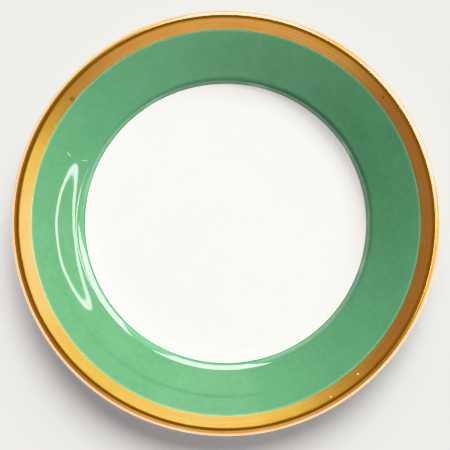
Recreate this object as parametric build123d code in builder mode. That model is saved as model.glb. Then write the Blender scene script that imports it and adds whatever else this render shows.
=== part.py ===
"""A china dinner plate, lying face up on its foot ring.

The plate is a fired porcelain body under a coat of glaze. A green enamel ground is laid on the
rim, over the glaze, and the outer edge is gilded: a broad band on the face, and a line that turns
over the lip. Every layer is its own closed solid and seats face to face on the layer below it.

Frame: millimetres, +Z up along the plate's axis, origin at the centre of the foot ring's
standing face. Every section is drawn with its radius along X and its height along Y, stood up
in the X-Z plane and turned about Z.
"""

import os

from build123d import *

# Overall sizes of the plate
plate_diameter = 267.0
crest_height = 24.3  # corner where the biscuit's rim meets its lip, above the table

# Layers, each laid on the one before
glaze_thickness = 0.3
enamel_thickness = 0.2
gilt_thickness = 0.15

# Rim and well, on the face of the biscuit
rim_width = 41.5  # from the shoulder, where the rim breaks down into the well, to the edge
rim_rise = 10.2
shoulder_blend = 10.0
wall_run = 9.3  # radial width of the well's wall
floor_height = 7.2
floor_blend = 26.0

# Lip: the rim turns over a crest, then falls to a rounded edge
lip_width = 2.75
lip_drop = 1.4
lip_edge_height = 1.5
crest_roundness = 1.6  # radius at the crest, as a share of the lip's width
edge_roundness_above = 0.85  # radii at the edge, as shares of its height
edge_roundness_below = 0.6

# Underside
rim_thickness = 3.7  # at the shoulder
heel_offset = 1.7  # how far the underside's bend lies outside the shoulder
heel_blend = 12.0
base_thickness = 4.4

# Foot ring
foot_inset = 8.8  # from the shoulder in to the foot's outer side
foot_width = 3.4
foot_height = 3.5  # on its outer side
foot_flare = 0.5  # how far its sides lean apart on the way up
foot_round = 0.8
foot_root_blend = 1.4
bare_foot_height = 1.1  # the foot is wiped clean of glaze up to here

# Decoration, measured along the radius
green_turn_in = 3.2  # how far the green runs over the shoulder into the well
gold_width = 12.3  # broad band and line together, in from the edge
gilt_line_width = 4.6  # the line's share of that
gilt_line_wrap = 2.2  # how far the line reaches under the lip

outer_radius = plate_diameter / 2
edge_radius = outer_radius - gilt_thickness - glaze_thickness
crest_radius = edge_radius - lip_width
shoulder_radius = edge_radius - rim_width
shoulder_height = crest_height - rim_rise
floor_radius = shoulder_radius - wall_run
edge_top = crest_height - lip_drop
edge_bottom = edge_top - lip_edge_height
edge_middle = (edge_top + edge_bottom) / 2
heel_radius = shoulder_radius + heel_offset
heel_height = shoulder_height - rim_thickness
recess_height = floor_height - base_thickness
foot_outer_radius = shoulder_radius - foot_inset
foot_inner_radius = foot_outer_radius - foot_width
green_inner_radius = shoulder_radius - green_turn_in
green_outer_radius = outer_radius - gold_width
gilt_line_radius = outer_radius - gilt_line_width
gilt_under_radius = outer_radius - gilt_line_wrap

# Corners of the biscuit's section, each with the radius that rounds it: out over the face, round
# the lip and back in underneath. The ends lie on the axis.
face_centre = (0, floor_height)
base_centre = (0, recess_height)
corners = {
    (floor_radius, floor_height): floor_blend,
    (shoulder_radius, shoulder_height): shoulder_blend,
    (crest_radius, crest_height): crest_roundness * lip_width,
    (edge_radius, edge_top): edge_roundness_above * lip_edge_height,
    (edge_radius, edge_bottom): edge_roundness_below * lip_edge_height,
    (heel_radius, heel_height): heel_blend,
    (foot_outer_radius + foot_flare, foot_height): foot_root_blend,
    (foot_outer_radius, 0): foot_round,
    (foot_inner_radius, 0): foot_round,
    (foot_inner_radius - foot_flare, recess_height): foot_root_blend,
}

# Trimming windows reach this far past the plate
overrun = 10.0
window_radius = outer_radius + overrun
window_top = crest_height + overrun
window_bottom = -overrun


def window(inner_radius, far_radius, bottom, top, mode):
    """Keeps or removes what lies between two radii and two heights."""
    middle = ((inner_radius + far_radius) / 2, (bottom + top) / 2)
    with Locations(middle):
        Rectangle(far_radius - inner_radius, top - bottom, mode=mode)


def raise_outline(outline, thickness):
    """Draws an outline again with a layer's thickness all round, but none past the axis."""
    add(outline.sketch)
    offset(amount=thickness)
    window(0, window_radius, window_bottom, window_top, Mode.INTERSECT)


def between(outer_outline, inner_outline):
    """Draws the layer that lies between two outlines."""
    add(outer_outline.sketch)
    add(inner_outline.sketch, mode=Mode.SUBTRACT)


def on_the_face(section):
    """The upper of the two areas that a ring-shaped window leaves of a layer."""
    return section.faces().sort_by(Axis.Y)[-1]


# Outlines of the bare biscuit, and of the plate over each layer
with BuildSketch() as biscuit_outline:
    with BuildLine():
        FilletPolyline(face_centre, *corners, base_centre, radius=corners.values())
        Line(base_centre, face_centre)
    make_face()

with BuildSketch() as glazed_outline:
    raise_outline(biscuit_outline, glaze_thickness)

with BuildSketch() as enamelled_outline:
    raise_outline(glazed_outline, enamel_thickness)

with BuildSketch() as gilded_outline:
    raise_outline(glazed_outline, gilt_thickness)

# Fired porcelain: well, rim and foot ring are one piece
with BuildPart() as porcelain_body:
    with BuildSketch(Plane.XZ):
        add(biscuit_outline.sketch)
    revolve(axis=Axis.Z)
porcelain_body.part.label = "porcelain_body"

# Wiping the foot parts the glaze in two: the small area lies inside the foot ring
with BuildSketch() as glaze_section:
    between(glazed_outline, biscuit_outline)
    window(0, window_radius, window_bottom, bare_foot_height, Mode.SUBTRACT)
base_area, coat_area = glaze_section.faces().sort_by(SortBy.AREA)

# Glaze over the face, round the lip and down the back to the foot
with BuildPart() as glaze_coat:
    with BuildSketch(Plane.XZ):
        add(coat_area)
    revolve(axis=Axis.Z)
glaze_coat.part.label = "glaze_coat"

# Glaze under the base, inside the foot ring
with BuildPart() as base_glaze:
    with BuildSketch(Plane.XZ):
        add(base_area)
    revolve(axis=Axis.Z)
base_glaze.part.label = "base_glaze"

# Green enamel on the rim, from inside the shoulder out to the gold
with BuildSketch() as enamel_section:
    between(enamelled_outline, glazed_outline)
    window(green_inner_radius, green_outer_radius, window_bottom, window_top, Mode.INTERSECT)

with BuildPart() as green_enamel_band:
    with BuildSketch(Plane.XZ):
        add(on_the_face(enamel_section))
    revolve(axis=Axis.Z)
green_enamel_band.part.label = "green_enamel_band"

# Broad gold band outside the green
with BuildSketch() as gilt_band_section:
    between(gilded_outline, glazed_outline)
    window(green_outer_radius, gilt_line_radius, window_bottom, window_top, Mode.INTERSECT)

with BuildPart() as gilt_band:
    with BuildSketch(Plane.XZ):
        add(on_the_face(gilt_band_section))
    revolve(axis=Axis.Z)
gilt_band.part.label = "gilt_band"

# Gold line over the crest and round the lip, which reaches less far in under the rim
with BuildPart() as gilt_edge:
    with BuildSketch(Plane.XZ):
        between(gilded_outline, glazed_outline)
        window(gilt_line_radius, window_radius, window_bottom, window_top, Mode.INTERSECT)
        window(gilt_line_radius, gilt_under_radius, window_bottom, edge_middle, Mode.SUBTRACT)
    revolve(axis=Axis.Z)
gilt_edge.part.label = "gilt_edge"

os.makedirs("parts", exist_ok=True)
layers = [porcelain_body, glaze_coat, base_glaze, green_enamel_band, gilt_band, gilt_edge]
for layer in layers:
    export_step(layer.part, f"parts/{layer.part.label}.step")
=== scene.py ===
import math

import bmesh
import bpy
from mathutils import Matrix, Quaternion, Vector, noise


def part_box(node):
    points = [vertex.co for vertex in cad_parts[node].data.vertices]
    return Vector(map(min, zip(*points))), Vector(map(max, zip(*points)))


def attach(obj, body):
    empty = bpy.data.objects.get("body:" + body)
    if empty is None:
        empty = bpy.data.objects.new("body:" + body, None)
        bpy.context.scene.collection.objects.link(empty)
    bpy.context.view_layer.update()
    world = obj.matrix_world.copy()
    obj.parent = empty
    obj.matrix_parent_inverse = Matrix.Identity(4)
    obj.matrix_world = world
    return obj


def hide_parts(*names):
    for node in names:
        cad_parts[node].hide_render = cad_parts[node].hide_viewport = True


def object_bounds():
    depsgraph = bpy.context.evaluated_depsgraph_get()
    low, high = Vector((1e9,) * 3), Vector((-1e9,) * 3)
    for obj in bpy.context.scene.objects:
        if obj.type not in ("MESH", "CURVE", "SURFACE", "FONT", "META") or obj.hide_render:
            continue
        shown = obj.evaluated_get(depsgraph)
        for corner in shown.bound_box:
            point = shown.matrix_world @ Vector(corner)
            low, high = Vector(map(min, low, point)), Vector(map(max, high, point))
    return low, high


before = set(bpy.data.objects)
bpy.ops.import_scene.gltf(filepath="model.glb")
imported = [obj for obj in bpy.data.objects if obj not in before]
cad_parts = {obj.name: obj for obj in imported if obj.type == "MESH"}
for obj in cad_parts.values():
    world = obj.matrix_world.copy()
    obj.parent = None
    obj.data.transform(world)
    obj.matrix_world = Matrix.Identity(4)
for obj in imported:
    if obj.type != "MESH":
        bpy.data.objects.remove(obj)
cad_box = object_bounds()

MM = 0.001

# Camera
# A long lens looks down on the plate from a little in front of its axis. The plate fills all but
# a narrow margin of the frame.
lens_length = 118.0
camera_lean = math.radians(6.5)
frame_width = 279.4 * MM  # at the height of the lip
plate_nudge = Vector((0.5 * MM, 3.5 * MM))  # how far the plate stands off the frame's middle
lip_height = cad_box[1].z

camera_data = bpy.data.cameras.new("camera")
camera_data.lens = lens_length
camera_data.clip_end = 100.0
camera = bpy.data.objects.new("camera", camera_data)
camera_distance = frame_width * lens_length / camera_data.sensor_width
camera_aim = Vector((-plate_nudge.x, -plate_nudge.y, lip_height))
camera_side = Vector((0, -math.sin(camera_lean), math.cos(camera_lean)))
camera.location = camera_aim + camera_distance * camera_side
camera.rotation_euler = (camera_lean, 0, 0)
bpy.context.scene.collection.objects.link(camera)
bpy.context.scene.camera = camera
bpy.context.scene.view_settings.view_transform = "Khronos PBR Neutral"


# Studio
# A pale paper table in a tinted tent. The key lamp and the lamp underneath light the plate alone,
# and the table has a sun of its own. The other lamps light nothing: they are only seen mirrored in
# the glaze and the gold.


class Value:
    """A socket of a material. Sums on it add Math nodes, and node() adds any other node."""

    def __init__(self, tree, socket=None):
        self.tree = tree
        self.socket = socket

    def node(self, kind, settings=(), sockets=(), output=0):
        made = self.tree.nodes.new("ShaderNode" + kind)
        for name, value in dict(settings).items():
            setattr(made, name, value)
        for name, value in dict(sockets).items():
            if isinstance(value, Value):
                self.tree.links.new(value.socket, made.inputs[name])
            else:
                made.inputs[name].default_value = value
        return Value(self.tree, made.outputs[output] if made.outputs else None)

    def tap(self, name):
        """Another output of the node that this socket is on."""
        return Value(self.tree, self.socket.node.outputs[name])

    def sum(self, operation, *terms):
        return self.node("Math", {"operation": operation}, dict(enumerate(terms)))

    def __add__(self, other):
        return self.sum("ADD", self, other)

    def __radd__(self, other):
        return self.sum("ADD", other, self)

    def __sub__(self, other):
        return self.sum("SUBTRACT", self, other)

    def __rsub__(self, other):
        return self.sum("SUBTRACT", other, self)

    def __mul__(self, other):
        return self.sum("MULTIPLY", self, other)

    def __rmul__(self, other):
        return self.sum("MULTIPLY", other, self)

    def __truediv__(self, other):
        return self.sum("DIVIDE", self, other)

    def __pow__(self, power):
        return self.sum("POWER", self, power)

    def __abs__(self):
        return self.sum("ABSOLUTE", self)

    def over(self, other):
        """The larger of the two, which lays one mask over another."""
        return self.sum("MAXIMUM", self, other)

    def ramp(self, low, high):
        """Rises smoothly from 0 at low to 1 at high; low may be the larger of the two."""
        settings = {"interpolation_type": "SMOOTHSTEP"}
        return self.node("MapRange", settings, {"Value": self, "From Min": low, "From Max": high})

    def mix(self, low_colour, high_colour):
        """Blends two colours by this value."""
        settings = {"data_type": "RGBA"}
        return self.node("Mix", settings, {0: self, 6: low_colour, 7: high_colour}, output=2)


studio_distance = 5.0
lamp_aim = Vector((0, 0, 0.5 * lip_height))
lamp_white = (1.0, 1.0, 0.985)


def direction(azimuth, off_axis):
    """Unit vector at an angle round the plate's axis, from +X, and at an angle from that axis."""
    turn = math.radians(azimuth)
    lean = math.radians(off_axis)
    return Vector((math.sin(lean) * math.cos(turn), math.sin(lean) * math.sin(turn), math.cos(lean)))


def lamp(name, azimuth, off_axis, wide, tall, radiance, shades=True, shines=True, roll=0):
    """A lit panel that faces the plate; wide and tall are the angles it covers, in degrees."""
    panel = bpy.data.lights.new(name, "AREA")
    panel.shape = "RECTANGLE"
    panel.size = 2 * studio_distance * math.tan(math.radians(wide / 2))
    panel.size_y = 2 * studio_distance * math.tan(math.radians(tall / 2))
    panel.energy = radiance * math.pi * panel.size * panel.size_y
    panel.color = lamp_white
    stand = bpy.data.objects.new(name, panel)
    towards_lamp = direction(azimuth, off_axis)
    stand.location = lamp_aim + studio_distance * towards_lamp
    rolled = Quaternion((0, 0, 1), math.radians(roll))
    stand.rotation_euler = (towards_lamp.to_track_quat("Z", "Y") @ rolled).to_euler()
    stand.visible_camera = False
    stand.visible_diffuse = shades
    stand.visible_glossy = shines
    bpy.context.scene.collection.objects.link(stand)
    return stand


key_lamp = lamp("key_lamp", azimuth=44, off_axis=66, wide=50, tall=30, radiance=32.0, shines=False)
lamp("soft_box_right", azimuth=35, off_axis=48, wide=27, tall=30, radiance=30.0, shades=False)
lamp("soft_box_above", azimuth=85, off_axis=48, wide=23, tall=26, radiance=28.0, shades=False)
lamp("soft_card", azimuth=86, off_axis=29.5, wide=11, tall=8, radiance=0.45, shades=False)
lamp(
    "lamp_slit",
    azimuth=22.5,
    off_axis=24.1,
    wide=22,
    tall=0.75,
    radiance=18.0,
    shades=False,
    roll=-15,
)
for azimuth in (130, 180, 230, 280, 330):
    lamp(f"low_card_{azimuth}", azimuth, off_axis=68, wide=50, tall=36, radiance=1.5, shades=False)
under_lamp = lamp(
    "under_lamp", azimuth=0, off_axis=180, wide=100, tall=100, radiance=1.0, shines=False
)

skylight = bpy.data.lights.new("table_lamp", "SUN")
skylight.energy = 6.4
skylight.angle = math.radians(56)
skylight.color = lamp_white
table_lamp = bpy.data.objects.new("table_lamp", skylight)
table_lamp.rotation_euler = direction(77, 45).to_track_quat("Z", "Y").to_euler()
table_lamp.visible_glossy = False
bpy.context.scene.collection.objects.link(table_lamp)

world = bpy.data.worlds.new("tent")
bpy.context.scene.world = world
world.use_nodes = True
world.node_tree.nodes.clear()
tent = Value(world.node_tree)
looking = tent.node("TexCoord", output="Generated")


def towards(axis):
    """Cosine of the angle between where a ray looks and an axis."""
    return tent.node("VectorMath", {"operation": "DOT_PRODUCT"}, {0: looking, 1: axis}, "Value")


lamp_glow = towards(direction(50, 42)).ramp(0.70, 0.93)
low_glow = towards(direction(270, 24)).ramp(0.90, 0.985)
overhead = towards(direction(90, 6.5)).ramp(0.930, 0.954)
horizon = towards((0, 0, 1)).ramp(0.66, 0.40)
dark_wall = (0.38, 0.29, 0.42, 1)
dim_wall = (0.80, 0.71, 0.80, 1)
lit_wall = (0.98, 1.10, 0.68, 1)
low_wall = (1.15, 1.14, 1.08, 1)
shaded_ceiling = (0.20, 0.13, 0.09, 1)
wall = low_glow.mix(dark_wall, dim_wall)
wall = lamp_glow.mix(wall, lit_wall)
wall = horizon.mix(wall, low_wall)
wall = overhead.mix(wall, shaded_ceiling)
backdrop = tent.node("Background", sockets={"Color": wall})
tent.node("OutputWorld", sockets={"Surface": backdrop})


def finish(name):
    """Starts a material: its node maker, and where each point lies on the piece."""
    material = bpy.data.materials.new(name)
    material.use_nodes = True
    material.node_tree.nodes.clear()
    maker = Value(material.node_tree)
    return material, maker, maker.node("TexCoord", output="Object")


def coated(maker, **sockets):
    """Ends a material with the shader that has these sockets; _ stands for a space in a name."""
    named = {name.replace("_", " "): value for name, value in sockets.items()}
    shader = maker.node("BsdfPrincipled", sockets=named)
    maker.node("OutputMaterial", sockets={"Surface": shader})


def grain(maker, place, size, detail=2.0):
    """Cloudy noise about 0.5, with lumps of about this size."""
    return maker.node("TexNoise", sockets={"Vector": place, "Scale": 1 / size, "Detail": detail})


table_half = 15.0
table_mesh = bmesh.new()
bmesh.ops.create_grid(table_mesh, x_segments=1, y_segments=1, size=table_half)
table_data = bpy.data.meshes.new("table")
table_mesh.to_mesh(table_data)
table_top = bpy.data.objects.new("table_top", table_data)
bpy.context.scene.collection.objects.link(table_top)
paper, paper_maker, paper_place = finish("table_paper")
paper_cloud = grain(paper_maker, paper_place, 0.4)
paper_shade = paper_cloud.mix((0.435, 0.437, 0.436, 1), (0.455, 0.457, 0.456, 1))
coated(paper_maker, Base_Color=paper_shade, Roughness=0.7, Specular_IOR_Level=0.2)
table_data.materials.append(paper)

# Lamps given only_table light nothing but the table, and those given not_table all but the table,
# which doesn't stand in the way of the lamp underneath either
only_table = bpy.data.collections.new("only_table")
only_table.objects.link(table_top)
table_lamp.light_linking.receiver_collection = only_table
not_table = bpy.data.collections.new("not_table")
not_table.objects.link(table_top)
not_table.collection_objects[0].light_linking.link_state = "EXCLUDE"
key_lamp.light_linking.receiver_collection = not_table
under_lamp.light_linking.receiver_collection = not_table
under_lamp.light_linking.blocker_collection = not_table

# Porcelain body
# Bone china clay, jiggered over a mould in one piece with its foot ring, then fired. Glaze hides
# all of it but the foot's standing face, which is ground flat so that the plate sits still.
glaze_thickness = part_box("glaze_coat")[1].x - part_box("porcelain_body")[1].x
edge_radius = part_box("porcelain_body")[1].x
recess_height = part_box("base_glaze")[1].z
bare_foot_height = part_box("glaze_coat")[0].z
crest_height = 24.3 * MM
lip_width = 2.75 * MM
lip_drop = 1.4 * MM
lip_edge_height = 1.5 * MM
crest_rounding = 4.4 * MM
edge_rounding_above = 1.275 * MM
edge_rounding_below = 0.9 * MM
rim_width = 41.5 * MM
rim_rise = 10.2 * MM
shoulder_rounding = 10.0 * MM
wall_run = 9.3 * MM
floor_height = 7.2 * MM
floor_rounding = 26.0 * MM
heel_offset = 1.7 * MM
heel_drop = 3.7 * MM
heel_rounding = 12.0 * MM
foot_inset = 8.8 * MM
foot_width = 3.4 * MM
foot_height = 3.5 * MM
foot_flare = 0.5 * MM
foot_rounding = 0.8 * MM
foot_root_rounding = 1.4 * MM

shoulder_radius = edge_radius - rim_width
foot_radius = shoulder_radius - foot_inset
foot_inner_radius = foot_radius - foot_width
foot_side = Vector((foot_flare, foot_height))

# Each corner of the section: where it is, out from the axis and up, and how far it is rounded
face_centre = (Vector((0, floor_height)), 0)
floor_bend = (Vector((shoulder_radius - wall_run, floor_height)), floor_rounding)
shoulder = (Vector((shoulder_radius, crest_height - rim_rise)), shoulder_rounding)
crest = (Vector((edge_radius - lip_width, crest_height)), crest_rounding)
edge_above = (Vector((edge_radius, crest_height - lip_drop)), edge_rounding_above)
edge_below = (edge_above[0] - Vector((0, lip_edge_height)), edge_rounding_below)
heel = (shoulder[0] + Vector((heel_offset, -heel_drop)), heel_rounding)
foot_root = (Vector((foot_radius, 0)) + foot_side, foot_root_rounding)
foot_outside = (Vector((foot_radius, 0)), foot_rounding)
foot_inside = (Vector((foot_inner_radius, 0)), foot_rounding)
recess_root = (Vector((foot_inner_radius - foot_flare, recess_height)), foot_root_rounding)
base_centre = (Vector((0, recess_height)), 0)
face_corners = [face_centre, floor_bend, shoulder, crest]
back_corners = [edge_above, edge_below, heel, foot_root]
foot_corners = [foot_outside, foot_inside, recess_root, base_centre]


def lifted(corners, lift):
    """The outline under a layer of this thickness: bends are rounded more, and hollows less."""
    points = [point for point, rounding in corners]
    runs = [(after - before).normalized() for before, after in zip(points, points[1:])]
    runs = [runs[0], *runs, runs[-1]]
    raised = []
    for (point, rounding), run_in, run_out in zip(corners, runs, runs[1:]):
        square_in = Vector((-run_in.y, run_in.x))
        square_out = Vector((-run_out.y, run_out.x))
        mitre = (square_in + square_out) / (1 + square_in.dot(square_out))
        change = -lift if run_in.cross(run_out) > 0 else lift
        raised.append((point + lift * mitre, rounding + change if rounding else 0))
    return raised


facet_turn = math.radians(4)  # how far one facet of a rounded corner turns


def section(corners):
    """Draws a closed outline as one face that stands on the X-Z plane, with its corners rounded."""
    drawn = bmesh.new()
    verts = [drawn.verts.new((point.x, 0, point.y)) for point, rounding in corners]
    drawn.faces.new(verts)
    places = [point for point, rounding in corners]
    around = zip(verts, corners, [places[-1], *places], [*places[1:], places[0]])
    for vert, (point, rounding), before, after in around:
        if rounding:
            turn = (point - before).angle(after - point)
            bmesh.ops.bevel(
                drawn,
                geom=[vert],
                offset=rounding * math.tan(turn / 2),
                offset_type="OFFSET",
                segments=max(3, round(turn / facet_turn)),
                profile=0.5,
                affect="VERTICES",
                material=-1,
            )
    return drawn


def keep_between(drawn, inner_radius, outer_radius):
    """Cuts a section down to what lies between two radii."""
    for radius, outward in ((inner_radius, False), (outer_radius, True)):
        bmesh.ops.bisect_plane(
            drawn,
            geom=[*drawn.verts, *drawn.edges, *drawn.faces],
            plane_co=(radius, 0, 0),
            plane_no=(1, 0, 0),
            clear_outer=outward,
            clear_inner=not outward,
        )


doublings = 4  # a sixteenth of the turn is spun, then doubled this often
same_place = 1e-6  # metres; closer points than this are one


def turn_on_lathe(drawn, step, sectors):
    """Turns a section about the plate's axis into a closed skin of faces about step long."""
    bmesh.ops.delete(drawn, geom=drawn.faces[:], context="FACES_ONLY")
    on_axis = [edge for edge in drawn.edges if max(vert.co.x for vert in edge.verts) < same_place]
    bmesh.ops.delete(drawn, geom=on_axis, context="EDGES")
    for edge in drawn.edges[:]:
        cuts = int(edge.calc_length() / step)
        if cuts:
            bmesh.ops.subdivide_edges(drawn, edges=[edge], cuts=cuts)
    angle = 2 * math.pi / 2**doublings
    bmesh.ops.spin(
        drawn,
        geom=[*drawn.verts, *drawn.edges],
        cent=(0, 0, 0),
        axis=(0, 0, 1),
        angle=angle,
        steps=sectors // 2**doublings,
    )
    for doubling in range(doublings):
        copy = bmesh.ops.duplicate(drawn, geom=[*drawn.verts, *drawn.edges, *drawn.faces])
        copied = [part for part in copy["geom"] if isinstance(part, bmesh.types.BMVert)]
        bmesh.ops.rotate(drawn, verts=copied, cent=(0, 0, 0), matrix=Matrix.Rotation(angle, 3, "Z"))
        angle *= 2
    bmesh.ops.remove_doubles(drawn, verts=drawn.verts[:], dist=same_place)


def eased(value, low, high):
    """Rises smoothly from 0 at low to 1 at high."""
    share = min(1.0, max(0.0, (value - low) / (high - low)))
    return share * share * (3 - 2 * share)


warp = 0.16 * MM  # how far the rim dips and lifts in two waves round
warp_turn = 0.7  # radians; where round the rim the waves start
ripple = 0.012 * MM
ripple_length = 13.0 * MM
rim_swell = 0.075 * MM  # a shallow wave across the rim, which closes its long highlight
swell_start = 90.0 * MM
swell_end = 112.0 * MM
swell_fade = 4.0 * MM


def fire(drawn):
    """Moves the skin the little that a fired plate is off true; every layer moves alike."""
    for vert in drawn.verts:
        flat = Vector((vert.co.x, vert.co.y, 0))
        radius = flat.length
        angle = math.atan2(vert.co.y, vert.co.x)
        out = eased(radius, foot_radius, edge_radius)
        above_foot = eased(vert.co.z, foot_height, floor_height)
        swell = eased(radius, swell_start, swell_start + swell_fade)
        swell *= eased(radius, swell_end, swell_end - swell_fade)
        wave = -math.sin(2 * math.pi * (radius - swell_start) / (swell_end - swell_start))
        vert.co.z += warp * out * math.cos(2 * angle + warp_turn)
        vert.co.z += ripple * above_foot * noise.noise(flat / ripple_length)
        vert.co.z += rim_swell * swell * wave


crease = math.radians(40)  # edges that turn more than this stay sharp


def build(name, drawn, material, node):
    """Makes a piece from its skin, in place of its CAD node and with that node's finish."""
    bmesh.ops.recalc_face_normals(drawn, faces=drawn.faces[:])
    mesh = bpy.data.meshes.new(name)
    drawn.to_mesh(mesh)
    drawn.free()
    mesh.shade_smooth()
    mesh.set_sharp_from_angle(angle=crease)
    mesh.materials.append(material)
    piece = bpy.data.objects.new(name, mesh)
    bpy.context.scene.collection.objects.link(piece)
    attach(piece, "root")
    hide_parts(node)


biscuit, maker, place = finish("biscuit")
clay_cloud = grain(maker, place, 6 * MM).ramp(0.3, 0.7)
clay = clay_cloud.mix((0.74, 0.72, 0.66, 1), (0.69, 0.66, 0.59, 1))
grit = grain(maker, place, 0.35 * MM, detail=3.0)
ground_bump = maker.node("Bump", sockets={"Strength": 0.5, "Distance": 0.05 * MM, "Height": grit})
coated(maker, Base_Color=clay, Roughness=0.85, Normal=ground_bump)

body_section = section([*face_corners, *back_corners, *foot_corners])
turn_on_lathe(body_section, step=4 * MM, sectors=368)
fire(body_section)
build("porcelain_body_fired", body_section, biscuit, "porcelain_body")

# Glaze coat
# Clear glaze, milk white over the bone china, flowed on the face, round the lip and down the
# back, and wiped off the foot before the second firing.
foot_stop = foot_root[0].lerp(foot_outside[0], 1 - bare_foot_height / foot_height)
coat_corners = [*face_corners, *back_corners, (foot_stop, 0)]

glaze, maker, place = finish("white_glaze")
milk_cloud = grain(maker, place, 22 * MM).ramp(0.35, 0.65)
milk = milk_cloud.mix((0.79, 0.80, 0.775, 1), (0.81, 0.82, 0.80, 1))
peel = grain(maker, place, 2.2 * MM)
peel_bump = maker.node("Bump", sockets={"Strength": 0.3, "Distance": 0.004 * MM, "Height": peel})
coated(maker, Base_Color=milk, Roughness=0.06, Normal=peel_bump)

glazed = lifted(coat_corners, glaze_thickness)
coat_section = section([*glazed, *reversed(coat_corners)])
turn_on_lathe(coat_section, step=3 * MM, sectors=368)
fire(coat_section)
build("glaze_coat_fired", coat_section, glaze, "glaze_coat")

# Base glaze
# The same glaze inside the foot ring, parted from the rest where the foot was wiped.
inner_stop = foot_inside[0].lerp(recess_root[0], bare_foot_height / recess_height)
recess_corners = [(inner_stop, 0), recess_root, base_centre]
base_section = section([*lifted(recess_corners, glaze_thickness), *reversed(recess_corners)])
turn_on_lathe(base_section, step=3 * MM, sectors=368)
build("base_glaze_fired", base_section, glaze, "base_glaze")

# Green enamel band
# Ground colour dusted on oil over the glaze and fired: thin, glossy and faintly stippled. It is made
# darker towards its inner edge and paler towards its outer edge, next to the gold.
enamel_thickness = 0.2 * MM
enamel_inner_radius = 88.35 * MM
enamel_outer_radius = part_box("green_enamel_band")[1].x



def in_plan(maker, place):
    """How far each point is from the plate's axis: along X, along Y and straight out."""
    spot = maker.node("SeparateXYZ", sockets={"Vector": place})
    across_x = spot.tap("X")
    across_y = spot.tap("Y")
    return across_x, across_y, (across_x * across_x + across_y * across_y) ** 0.5


green, maker, place = finish("green_enamel")
across_x, across_y, radius = in_plan(maker, place)


def nick(azimuth, reach, heading, length, width):
    """A short scratch on the rim: 1 along it and 0 past its ragged sides."""
    turn = math.radians(azimuth)
    lie = math.radians(heading)
    middle = (reach * math.cos(turn), reach * math.sin(turn), 0)
    away = maker.node("VectorMath", {"operation": "SUBTRACT"}, {0: place, 1: middle})
    dot = {"operation": "DOT_PRODUCT"}
    along = maker.node("VectorMath", dot, {0: away, 1: (math.cos(lie), math.sin(lie), 0)}, "Value")
    aside = maker.node("VectorMath", dot, {0: away, 1: (-math.sin(lie), math.cos(lie), 0)}, "Value")
    ragged = abs(aside + (rough - 0.5) * width)
    return abs(along).ramp(length / 2, length / 4) * ragged.ramp(width / 2, width / 6)


rough = grain(maker, place, 0.8 * MM, detail=3.0)
stipple = grain(maker, place, 0.55 * MM, detail=4.0)
mottle = grain(maker, place, 3.2 * MM, detail=3.0)
cloud = grain(maker, place, 19 * MM, detail=1.0).ramp(0.3, 0.7)
shade = cloud.mix((0.055, 0.166, 0.081, 1), (0.060, 0.174, 0.088, 1))
shade = (mottle.ramp(0.35, 0.75) * 0.45).mix(shade, (0.072, 0.190, 0.104, 1))
shade = (stipple.ramp(0.45, 0.8) * 0.4).mix(shade, (0.082, 0.215, 0.122, 1))
# darker towards the inner edge of the band
inner_edge_darkening = radius.ramp(enamel_inner_radius + 1.5 * MM, enamel_inner_radius + 0.4 * MM)
shade = (inner_edge_darkening * 0.75).mix(shade, (0.028, 0.105, 0.046, 1))
# paler towards the outer edge of the band, next to the gold
outer_edge_paling = radius.ramp(enamel_outer_radius - 1.6 * MM, enamel_outer_radius - 0.2 * MM)
shade = (outer_edge_paling * 0.4).mix(shade, (0.11, 0.37, 0.22, 1))
outer_nick = nick(azimuth=157.0, reach=107.0 * MM, heading=-52, length=4.2 * MM, width=1.3 * MM)
inner_nick = nick(azimuth=156.7, reach=96.8 * MM, heading=2, length=5.0 * MM, width=1.0 * MM)
nicks = outer_nick.over(inner_nick)
shade = (nicks * 0.5).mix(shade, (0.22, 0.36, 0.18, 1))
worn = stipple.ramp(0.55, 0.75) * 0.02 + 0.03 + nicks * 0.3
height = stipple * 0.4 + mottle - nicks * 3.0
stipple_bump = maker.node("Bump", sockets={"Strength": 0.3, "Distance": 0.003 * MM, "Height": height})
coated(maker, Base_Color=shade, Roughness=worn, IOR=1.6, Normal=stipple_bump)


def strip(corners):
    """The outline between two corners, which are left sharp because they are cut away later."""
    return [(corners[0][0], 0), *corners[1:-1], (corners[-1][0], 0)]


rim_under = strip(lifted(coat_corners, glaze_thickness)[:4])
rim_over = strip(lifted(coat_corners, glaze_thickness + enamel_thickness)[:4])
green_section = section([*rim_over, *reversed(rim_under)])
keep_between(green_section, enamel_inner_radius, enamel_outer_radius)
turn_on_lathe(green_section, step=1 * MM, sectors=720)
fire(green_section)
build("green_enamel_fired", green_section, green, "green_enamel_band")

# Gilt band
# Bright gold brushed on outside the green on a banding wheel, then burnished. It is made paler
# round the outside of the lip.
gilt_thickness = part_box("gilt_edge")[1].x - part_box("glaze_coat")[1].x
gilt_line_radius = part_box("gilt_band")[1].x

gold, maker, place = finish("burnished_gold")
across_x, across_y, radius = in_plan(maker, place)


def brushed(size, spread):
    """Streaks that run round the rim, this wide and this many radians long."""
    lane = {"X": across_x / radius / spread, "Y": across_y / radius / spread, "Z": radius / size}
    track = maker.node("CombineXYZ", sockets=lane)
    return maker.node("TexNoise", sockets={"Vector": track, "Scale": 1.0, "Detail": 3.0})


def blot(azimuth, reach, size):
    """A ragged spot on the gold."""
    turn = math.radians(azimuth)
    aside_x = across_x - reach * math.cos(turn)
    aside_y = across_y - reach * math.sin(turn)
    away = (aside_x * aside_x + aside_y * aside_y) ** 0.5
    return (away + (rough - 0.5) * size).ramp(size, 0.4 * size)


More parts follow.
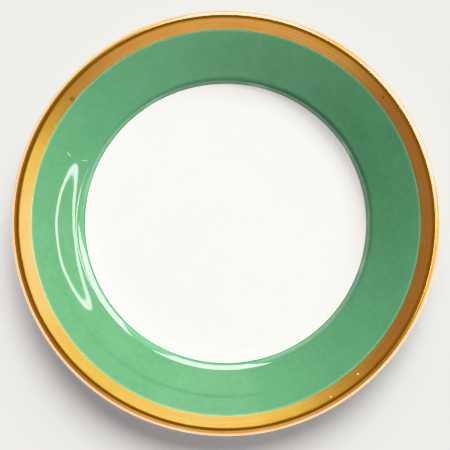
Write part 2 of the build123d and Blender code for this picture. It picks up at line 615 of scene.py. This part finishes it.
rough = grain(maker, place, 1.1 * MM, detail=3.0)
stroke = brushed(1.5 * MM, 0.5)
line = brushed(0.35 * MM, 0.25)
patch = grain(maker, place, 16 * MM).ramp(0.3, 0.7)
gold_tone = patch.mix((0.93, 0.51, 0.13, 1), (0.95, 0.56, 0.15, 1))
gold_tone = (stroke.ramp(0.4, 0.7) * 0.7).mix(gold_tone, (0.97, 0.63, 0.18, 1))
large_smudge = blot(azimuth=141.7, reach=122.8 * MM, size=2.3 * MM)
small_smudge = blot(azimuth=38, reach=125.5 * MM, size=1.2 * MM)
smudge = large_smudge.over(small_smudge)
large_fleck = blot(azimuth=310.4, reach=125.4 * MM, size=0.8 * MM)
small_fleck = blot(azimuth=300.4, reach=127.0 * MM, size=0.7 * MM)
bare = large_fleck.over(small_fleck)
gold_tone = (smudge * 0.6).mix(gold_tone, (0.34, 0.14, 0.06, 1))
gold_tone = (bare * 0.5).mix(gold_tone, (0.90, 0.80, 0.60, 1))
# the gold is made paler and less metallic round the outside of the lip
pale_edge_start = 132.1 * MM
pale_edge_full = 132.9 * MM
pale_lip_edge = radius.ramp(pale_edge_start, pale_edge_full) * rough.ramp(0.25, 0.55) * 0.65
gold_tone = pale_lip_edge.mix(gold_tone, (0.93, 0.89, 0.78, 1))
dull = 0.11 + line.ramp(0.4, 0.8) * 0.08 + rough.ramp(0.6, 0.8) * 0.06 + smudge * 0.03
height = line + stroke * 1.6 + rough * 0.4
brush_bump = maker.node("Bump", sockets={"Strength": 0.35, "Distance": 0.003 * MM, "Height": height})
bright = 1.0 - bare * 0.4 - pale_lip_edge
coated(maker, Base_Color=gold_tone, Metallic=bright, Roughness=dull, Normal=brush_bump)

gilt_over = lifted(coat_corners, glaze_thickness + gilt_thickness)[2:7]
gilt_under = lifted(coat_corners, glaze_thickness)[2:7]
band_section = section([*strip(gilt_over[:3]), *reversed(strip(gilt_under[:3]))])
keep_between(band_section, enamel_outer_radius, gilt_line_radius)
turn_on_lathe(band_section, step=1 * MM, sectors=720)
fire(band_section)
build("gilt_band_fired", band_section, gold, "gilt_band")

# Gilt edge
# A second pass of gold over the crest and round the lip, a little way in underneath.
wrap_radius = 131.3 * MM
beyond_plate = 1.0  # metres
gilt_stops = []
for (edge_point, edge_rounding), (heel_point, heel_rounded) in (gilt_over[3:], gilt_under[3:]):
    share = (edge_point.x - wrap_radius) / (edge_point.x - heel_point.x)
    gilt_stops.append((edge_point.lerp(heel_point, share), 0))
edge_over = strip([*gilt_over[:4], gilt_stops[0]])
edge_under = strip([*gilt_under[:4], gilt_stops[1]])
edge_section = section([*edge_over, *reversed(edge_under)])
keep_between(edge_section, gilt_line_radius, beyond_plate)
turn_on_lathe(edge_section, step=1 * MM, sectors=720)
fire(edge_section)
build("gilt_edge_fired", edge_section, gold, "gilt_edge")
